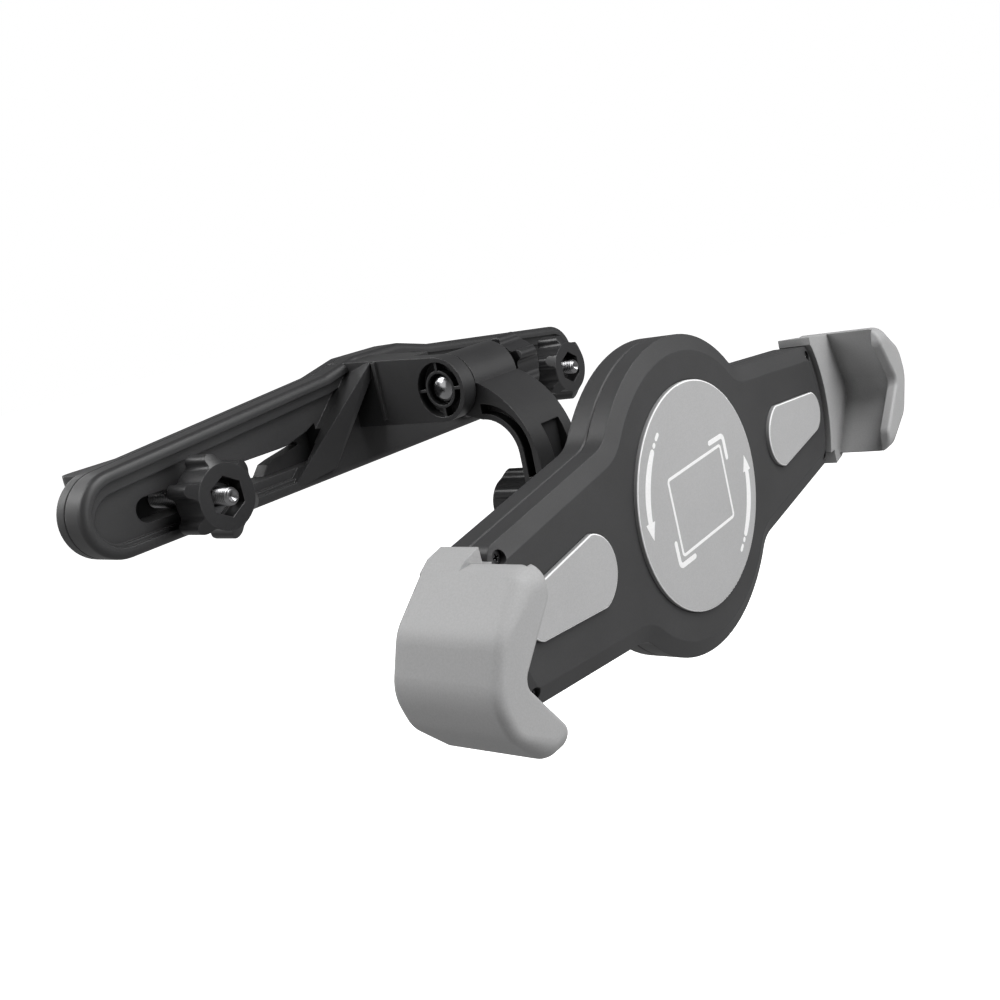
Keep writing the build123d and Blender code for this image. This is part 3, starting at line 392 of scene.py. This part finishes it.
def span(node, axis):
    """Ends of a CAD piece along one axis, in millimetres."""
    low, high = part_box(node)
    return low[axis] / MM, high[axis] / MM


def clamp_bolt(side, word):
    bm = bmesh.new()
    place = along((side * CLAMP_X, 0, 0), (0, -1, 0), (0, 0, 1))
    tip, head = span(word + "_bolt", 1)
    rings(bm, place, hex_rows(-head, HEX_HEAD - head) + thread_rows(HEX_HEAD - head, -tip, BOLT_TIP))
    piece = new_piece(word + "_threaded_bolt", bm, word + "_clamp_hook", zinc)
    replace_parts(piece, word + "_bolt")


clamp_bolt(-1, "left")
clamp_bolt(1, "right")

bm = bmesh.new()
place = along((0, 0, HOLDER_Z), (0, 1, 0), (-TURN_SIN, 0, TURN_COS))
head, tip = span("swivel_bolt", 1)
rings(bm, place, hex_rows(head, head + HEX_HEAD) + thread_rows(head + HEX_HEAD, tip, BOLT_TIP))
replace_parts(new_piece("swivel_threaded_bolt", bm, "holder", zinc), "swivel_bolt")

bm = bmesh.new()
place = along(HINGE_PLACE, (1, 0, 0), (0, 1, 0))
head, tip = span("hinge_screw", 0)
dome = []
for k in range(DOME_ROWS, -1, -1):
    bend = DOME_BEND * k / DOME_ROWS
    dome.append(circle(DOME_R * math.cos(bend), head + DOME_HEIGHT * (1 - math.sin(bend))))
rings(bm, place, dome + thread_rows(head + DOME_HEIGHT, tip, HINGE_TIP))
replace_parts(new_piece("hinge_threaded_screw", bm, "rail", polished_steel), "hinge_screw")

# Each set of small screws: head radius, head height, shank radius, shank length

RAIL_SCREW = (2.5, 1.6, 1.45, 5.95)
NECK_SCREW = (2.3, 1.6, 1.25, 6.2)
COVER_SCREW = (1.65, 1.4, 1.0, 7.0)
RAIL_SEAT_Y = -2.0
RAIL_END_IN, RAIL_END_Z = 2.5, 2.6
RAIL_MIDDLE_X, RAIL_MIDDLE_Z = 27.0, 4.0
NECK_RING_R, NECK_SEAT_OUT = 17.5, -17.0
COVER_X, COVER_Y, COVER_SEAT_OUT = 81.8, 16.4, -3.0
HEAD_CHAMFER = 0.2
POINT_SHARE, POINT_LENGTH = 0.4, 0.5
CROSS_ARM, CROSS_HALF, CROSS_FLOOR, CROSS_TAPER = 0.58, 0.15, 0.4, 0.55
FIRST_CROSS_TURN = 0.7


def cross_screw(bm, place, head_r, head_h, shank_r, shank_length):
    """Small screw with a cross recess; z is 0 under its head and points out of it."""
    loops = rings(bm, place, [
        circle(POINT_SHARE * shank_r, -shank_length),
        circle(shank_r, POINT_LENGTH - shank_length),
        circle(shank_r, 0),
        circle(head_r, 0),
        circle(head_r, head_h - HEAD_CHAMFER),
        circle(head_r - HEAD_CHAMFER, head_h),
    ], False)
    arm, half = CROSS_ARM * head_r, CROSS_HALF * head_r
    cross = [(arm, -half), (arm, half), (half, half), (half, arm), (-half, arm), (-half, half),
             (-arm, half), (-arm, -half), (-half, -half), (-half, -arm), (half, -arm), (half, -half)]
    top = [bm.verts.new(place @ Vector((x, y, head_h))) for x, y in cross]
    low = [bm.verts.new(place @ Vector((CROSS_TAPER * x, CROSS_TAPER * y, CROSS_FLOOR * head_h)))
           for x, y in cross]
    edges = []
    for loop in (loops[-1], top):
        for k in range(len(loop)):
            pair = (loop[k], loop[(k + 1) % len(loop)])
            edges.append(bm.edges.get(pair) or bm.edges.new(pair))
    bmesh.ops.triangle_fill(bm, use_beauty=True, edges=edges)
    for k in range(len(top)):
        n = (k + 1) % len(top)
        bm.faces.new((top[k], top[n], low[n], low[k]))
    bm.faces.new(low)


def on_holder(x, y, out):
    """Point of the holder's frame, in metres: x along it, y up its face, out towards the tablet."""
    return Vector((
        x * TURN_COS - y * TURN_SIN,
        HOLDER_Y - out,
        HOLDER_Z + x * TURN_SIN + y * TURN_COS,
    )) * MM


def screw_set(name, node, body, places, axis, sizes, material):
    bm = bmesh.new()
    for k, place in enumerate(places):
        across, rise = polar(1, FIRST_CROSS_TURN + k)
        cross_screw(bm, along(place / MM, axis, (across, 0, rise)), *sizes)
    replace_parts(new_piece(name, bm, body, material), node)


rail_low, rail_high = span("rail_screws", 0)
rail_points = [(rail_low + RAIL_END_IN, RAIL_END_Z), (rail_high - RAIL_END_IN, RAIL_END_Z),
               (-RAIL_MIDDLE_X, RAIL_MIDDLE_Z), (RAIL_MIDDLE_X, RAIL_MIDDLE_Z)]
screw_set("rail_cross_screws", "rail_screws", "rail",
          [Vector((x, RAIL_SEAT_Y, z)) * MM for x, z in rail_points],
          (0, 1, 0), RAIL_SCREW, zinc)
screw_set("neck_cross_screws", "neck_screws", "holder",
          [on_holder(NECK_RING_R * x, NECK_RING_R * y, NECK_SEAT_OUT)
           for x, y in ((1, 0), (0, 1), (-1, 0), (0, -1))],
          (0, 1, 0), NECK_SCREW, zinc)
screw_set("cover_cross_screws", "cover_screws", "holder",
          [on_holder(COVER_X * x, COVER_Y * y, COVER_SEAT_OUT) for x in (-1, 1) for y in (-1, 1)],
          (0, -1, 0), COVER_SCREW, dark_steel)


# Claws with a tighter front edge than their solids have; the ends keep the solids' rounding

CLAW_ROUND, TIGHT_ROUND = 4.6, 2.4
CLAW_END, FADE_LENGTH = 18.6, 6.0
SAME_DEPTH = 0.01
BAND_SLACK, ROUND_SLACK = 0.05, 0.08
TINY = 1e-9


def holder_plan(spot):
    """Where a point in metres lies in the holder's plane: x along it and y up its face."""
    across, rise = spot.x / MM, spot.z / MM - HOLDER_Z
    return Vector((across * TURN_COS + rise * TURN_SIN, rise * TURN_COS - across * TURN_SIN))


def nearest_on(line, point):
    """Place on a line of points that is nearest to a point."""
    spots = []
    for start, end in zip(line, line[1:]):
        step = end - start
        share = (point - start).dot(step) / max(step.length_squared, TINY)
        spots.append(start + step * min(1.0, max(0.0, share)))
    return min(spots, key=lambda spot: (spot - point).length)


def tight_claw(word, way):
    """Copy of a claw whose rounded front edge is drawn out towards its corner."""
    source = nodes[word + "_claw"]
    world_from_mesh = source.matrix_world
    mesh = source.data.copy()
    normals = [world_from_mesh.to_3x3() @ corner.vector for corner in mesh.corner_normals]
    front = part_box(word + "_claw")[0].y
    plan, depths = [], []
    for vertex in mesh.vertices:
        spot = world_from_mesh @ vertex.co
        plan.append(way * holder_plan(spot))
        depths.append((spot.y - front) / MM)
    outline = [spot for spot, depth in zip(plan, depths) if abs(depth - CLAW_ROUND) < SAME_DEPTH]
    root_x = min(spot.x for spot in outline)
    outline.sort(key=lambda spot: math.atan2(spot.y, spot.x - root_x))
    for vertex, spot, depth in zip(mesh.vertices, plan, depths):
        near = nearest_on(outline, spot)
        inside = (spot - near).length
        off_round = math.hypot(CLAW_ROUND - inside, CLAW_ROUND - depth) - CLAW_ROUND
        if max(inside, depth) < CLAW_ROUND + BAND_SLACK and abs(off_round) < ROUND_SLACK:
            fade = min(1.0, max(0.0, (CLAW_END - abs(near.y)) / FADE_LENGTH))
            share = 1.0 - (1.0 - TIGHT_ROUND / CLAW_ROUND) * fade
            spot = near + (spot - near) * share
            depth *= share
        vertex.co = on_holder(way * spot.x, way * spot.y, HOLDER_Y - front / MM - depth)
    mesh.normals_split_custom_set(normals)
    mesh.materials.clear()
    mesh.materials.append(soft_grey)
    piece = bpy.data.objects.new(word + "_crisp_claw", mesh)
    scene.collection.objects.link(piece)
    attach(piece, word + "_jaw")
    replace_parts(piece, word + "_claw")


tight_claw("right", 1)
tight_claw("left", -1)


# Print on the disc: two turning arrows, the outline of a tablet and two corner brackets

PRINT_LOW, PRINT_HIGH = 1.19, 1.235
ROUND_STEPS = 6
QUARTER_STEP = 90 / ROUND_STEPS
ARROW_R = 26.4
ARROW_START, ARROW_NECK, ARROW_STEPS = 135.8, 175.0, 24
ARROW_WIDTH, ARROW_SWELL = 1.5, 0.9
SWELL_START, SWELL_LENGTH = 0.12, 0.7
HEAD_ANGLES, HEAD_WIDTHS = [175.15, 178.4, 181.7, 185.0], [4.2, 2.85, 1.5, 0.12]
DASHES, DASH_WIDTH = ((125.6, 1.4), (131.4, 0.4)), 1.2
FRAME_W, FRAME_H, FRAME_ROUND, FRAME_X, FRAME_Y = 29.0, 20.8, 1.0, -0.1, -1.0
FRAME_HALF_LINE = 0.42
BRACKET_START, BRACKET_END = (9.2, 11.6), (16.9, 5.0)
BRACKET_X, BRACKET_Y, BRACKET_ROUND, BRACKET_WIDTH = 15.4, 10.1, 1.4, 1.45


def layer(bm, points):
    """Lower and upper points of a printed patch."""
    return [[bm.verts.new(on_holder(x, y, out)) for x, y in points] for out in (PRINT_LOW, PRINT_HIGH)]


def half_disc(centre, side):
    """Points of a round end, from one side of a stroke to the other, without its two corners."""
    ax, ay = side[0] - centre[0], side[1] - centre[1]
    points = []
    for q in range(1, ROUND_STEPS):
        c, s = polar(1, -math.pi * q / ROUND_STEPS)
        points.append((centre[0] + ax * c - ay * s, centre[1] + ax * s + ay * c))
    return points


def stroke(bm, line, widths, round_start=True, round_end=True):
    """Thin raised strip along a line of points on the disc."""
    left, right = [], []
    for k, (x, y) in enumerate(line):
        ax, ay = line[max(k - 1, 0)]
        bx, by = line[min(k + 1, len(line) - 1)]
        length = math.hypot(bx - ax, by - ay)
        nx, ny = -(by - ay) / length, (bx - ax) / length
        half = widths[k] / 2
        left.append((x + nx * half, y + ny * half))
        right.append((x - nx * half, y - ny * half))
    end = half_disc(line[-1], left[-1]) if round_end else []
    start = half_disc(line[0], right[0]) if round_start else []
    outline = left + end + list(reversed(right)) + start
    count, total = len(left), len(outline)
    low, high = layer(bm, outline)
    for k in range(total):
        n = (k + 1) % total
        bm.faces.new((low[k], low[n], high[n], high[k]))
    first_right = count + len(end)

    def right_at(k):
        return first_right + count - 1 - k

    patches = [(k, right_at(k), right_at(k + 1), k + 1) for k in range(count - 1)]
    if round_end:
        patches.append(tuple(range(count - 1, first_right + 1)))
    if round_start:
        patches.append(tuple(range(right_at(0), total)) + (0,))
    for corners in patches:
        bm.faces.new([high[k] for k in corners])
        bm.faces.new([low[k] for k in reversed(corners)])


def ring_point(radius, angle):
    """Point on a circle about the disc's middle, by an angle in degrees."""
    return polar(radius, math.radians(angle))


def frame_loop(grow):
    """Points around the tablet outline, made larger by grow."""
    radius = FRAME_ROUND + grow
    points = []
    for cx, cy, first in ((1, 1, 0), (-1, 1, 90), (-1, -1, 180), (1, -1, 270)):
        for q in range(ROUND_STEPS + 1):
            x, y = ring_point(radius, first + QUARTER_STEP * q)
            points.append((FRAME_X + cx * (FRAME_W / 2 - FRAME_ROUND) + x,
                           FRAME_Y + cy * (FRAME_H / 2 - FRAME_ROUND) + y))
    return points


def arrow(bm, half_turn):
    """Bent arrow that swells along its shaft, with two dashes behind it."""
    angles, widths = [], []
    for k in range(ARROW_STEPS + 1):
        share = k / ARROW_STEPS
        angles.append(ARROW_START + (ARROW_NECK - ARROW_START) * share)
        widths.append(ARROW_WIDTH + ARROW_SWELL * math.sin(math.pi * (SWELL_START + SWELL_LENGTH * share)))
    line = [ring_point(ARROW_R, a + half_turn) for a in angles + HEAD_ANGLES]
    stroke(bm, line, widths + HEAD_WIDTHS, True, False)
    for middle_angle, reach in DASHES:
        dash = [middle_angle - reach, middle_angle, middle_angle + reach]
        stroke(bm, [ring_point(ARROW_R, a + half_turn) for a in dash], [DASH_WIDTH] * len(dash))


def tablet_frame(bm):
    """Closed line around the tablet outline."""
    inner, outer = [layer(bm, frame_loop(grow)) for grow in (-FRAME_HALF_LINE, FRAME_HALF_LINE)]
    around = [inner[1], outer[1], outer[0], inner[0], inner[1]]
    for k in range(len(inner[0])):
        n = (k + 1) % len(inner[0])
        for one, two in zip(around, around[1:]):
            bm.faces.new((one[k], one[n], two[n], two[k]))


def corner_bracket(bm, way):
    """Rounded bracket outside one corner of the tablet outline."""
    bend = [ring_point(BRACKET_ROUND, 90 - QUARTER_STEP * q) for q in range(1, ROUND_STEPS)]
    corner = [(BRACKET_X + x, BRACKET_Y + y) for x, y in [(0, BRACKET_ROUND)] + bend + [(BRACKET_ROUND, 0)]]
    points = [BRACKET_START] + corner + [BRACKET_END]
    line = [(FRAME_X + way * (x - FRAME_X), FRAME_Y + way * (y - FRAME_Y)) for x, y in points]
    stroke(bm, line, [BRACKET_WIDTH] * len(line))


bm = bmesh.new()
for half_turn in (0, 180):
    arrow(bm, half_turn)
tablet_frame(bm)
for way in (1, -1):
    corner_bracket(bm, way)
new_piece("disc_print", bm, "holder", ink)


# Camera at the photograph's place

eye = Vector((-0.2599, -0.2753, 0.0496))
ahead = Vector((0.7369, 0.6407, -0.2156)).normalized()
up = Vector((0.2976, -0.0212, 0.9544))
up = (up - ahead * up.dot(ahead)).normalized()
right = ahead.cross(up)
camera_data = bpy.data.cameras.new("camera")
camera_data.sensor_fit = "HORIZONTAL"
camera_data.sensor_width = 36.0
camera_data.lens = 41.52
camera_data.clip_start = 0.01
camera = bpy.data.objects.new("camera", camera_data)
camera.matrix_world = Matrix((
    (right.x, up.x, -ahead.x, eye.x),
    (right.y, up.y, -ahead.y, eye.y),
    (right.z, up.z, -ahead.z, eye.z),
    (0, 0, 0, 1),
))
scene.collection.objects.link(camera)
scene.camera = camera


# Lamps, sky and floor; the camera alone sees the floor and sky as white

AIM = Vector((0.0, -0.06, -0.01))
LAMPS = (
    ("top_left", (-0.55, 0.5, 0.65), (0.6, 0.6), 6.2),
    ("rear_left", (-0.85, 0.3, 0.3), (0.6, 0.6), 0.95),
    ("front", (0.1, -1.0, 0.25), (0.6, 0.6), 3.1),
    ("front_right", (0.65, -0.8, 0.35), (0.6, 0.6), 1.2),
    ("front_top", (0.1, -0.65, 0.8), (0.6, 0.6), 8.6),
    ("back", (0.0, 1.15, 0.22), (0.8, 0.6), 4.5),
)
SKY_HEIGHTS = (-0.5, 0.9)
SKY_BELOW, SKY_ABOVE = 0.35, 0.0
FLOOR_HALF, FLOOR_DROP, FLOOR_GLOW = 6, 0.25, 1.05

for name, place, size, power in LAMPS:
    lamp_data = bpy.data.lights.new(name, "AREA")
    lamp_data.shape = "RECTANGLE"
    lamp_data.size, lamp_data.size_y = size
    lamp_data.energy = power
    lamp = bpy.data.objects.new(name, lamp_data)
    lamp.location = place
    lamp.rotation_euler = (AIM - Vector(place)).to_track_quat("-Z", "Y").to_euler()
    scene.collection.objects.link(lamp)

world = bpy.data.worlds.new("studio")
scene.world = world
world.use_nodes = True
sky = world.node_tree
backdrop = sky.nodes["Background"]
backdrop.inputs["Strength"].default_value = 1.0
path = sky.nodes.new("ShaderNodeLightPath")
where = sky.nodes.new("ShaderNodeTexCoord")
height = sky.nodes.new("ShaderNodeSeparateXYZ")
shade = sky.nodes.new("ShaderNodeMapRange")
shade.inputs["From Min"].default_value = SKY_HEIGHTS[0]
shade.inputs["From Max"].default_value = SKY_HEIGHTS[1]
shade.inputs["To Min"].default_value = SKY_BELOW
shade.inputs["To Max"].default_value = SKY_ABOVE
seen = sky.nodes.new("ShaderNodeMixRGB")
seen.inputs["Color2"].default_value = (1, 1, 1, 1)
sky.links.new(where.outputs["Generated"], height.inputs["Vector"])
sky.links.new(height.outputs["Z"], shade.inputs["Value"])
sky.links.new(path.outputs["Is Camera Ray"], seen.inputs["Fac"])
sky.links.new(shade.outputs["Result"], seen.inputs["Color1"])
sky.links.new(seen.outputs["Color"], backdrop.inputs["Color"])
scene.view_settings.view_transform = "Standard"

floor_z = cad_box[0][2] - FLOOR_DROP
corners = [(FLOOR_HALF * x, FLOOR_HALF * y, floor_z) for x, y in ((-1, -1), (1, -1), (1, 1), (-1, 1))]
floor_mesh = bpy.data.meshes.new("floor")
floor_mesh.from_pydata(corners, [], [(0, 1, 2, 3)])
floor = bpy.data.objects.new("floor", floor_mesh)
floor.visible_diffuse = False
floor.visible_glossy = False
scene.collection.objects.link(floor)
paper = Surface("floor_white")
fibre = paper.noise(paper.coord["Generated"], Scale=3.0, Detail=2.0)
paper.link(paper.ramp(fibre, [(0.3, 0.9), (0.7, 0.92)]), paper.shader.inputs["Base Color"])
paper.shader.inputs["Roughness"].default_value = 0.9
paper.shader.inputs["Emission Color"].default_value = (1, 1, 1, 1)
paper.shader.inputs["Emission Strength"].default_value = FLOOR_GLOW
floor_mesh.materials.append(paper.material)
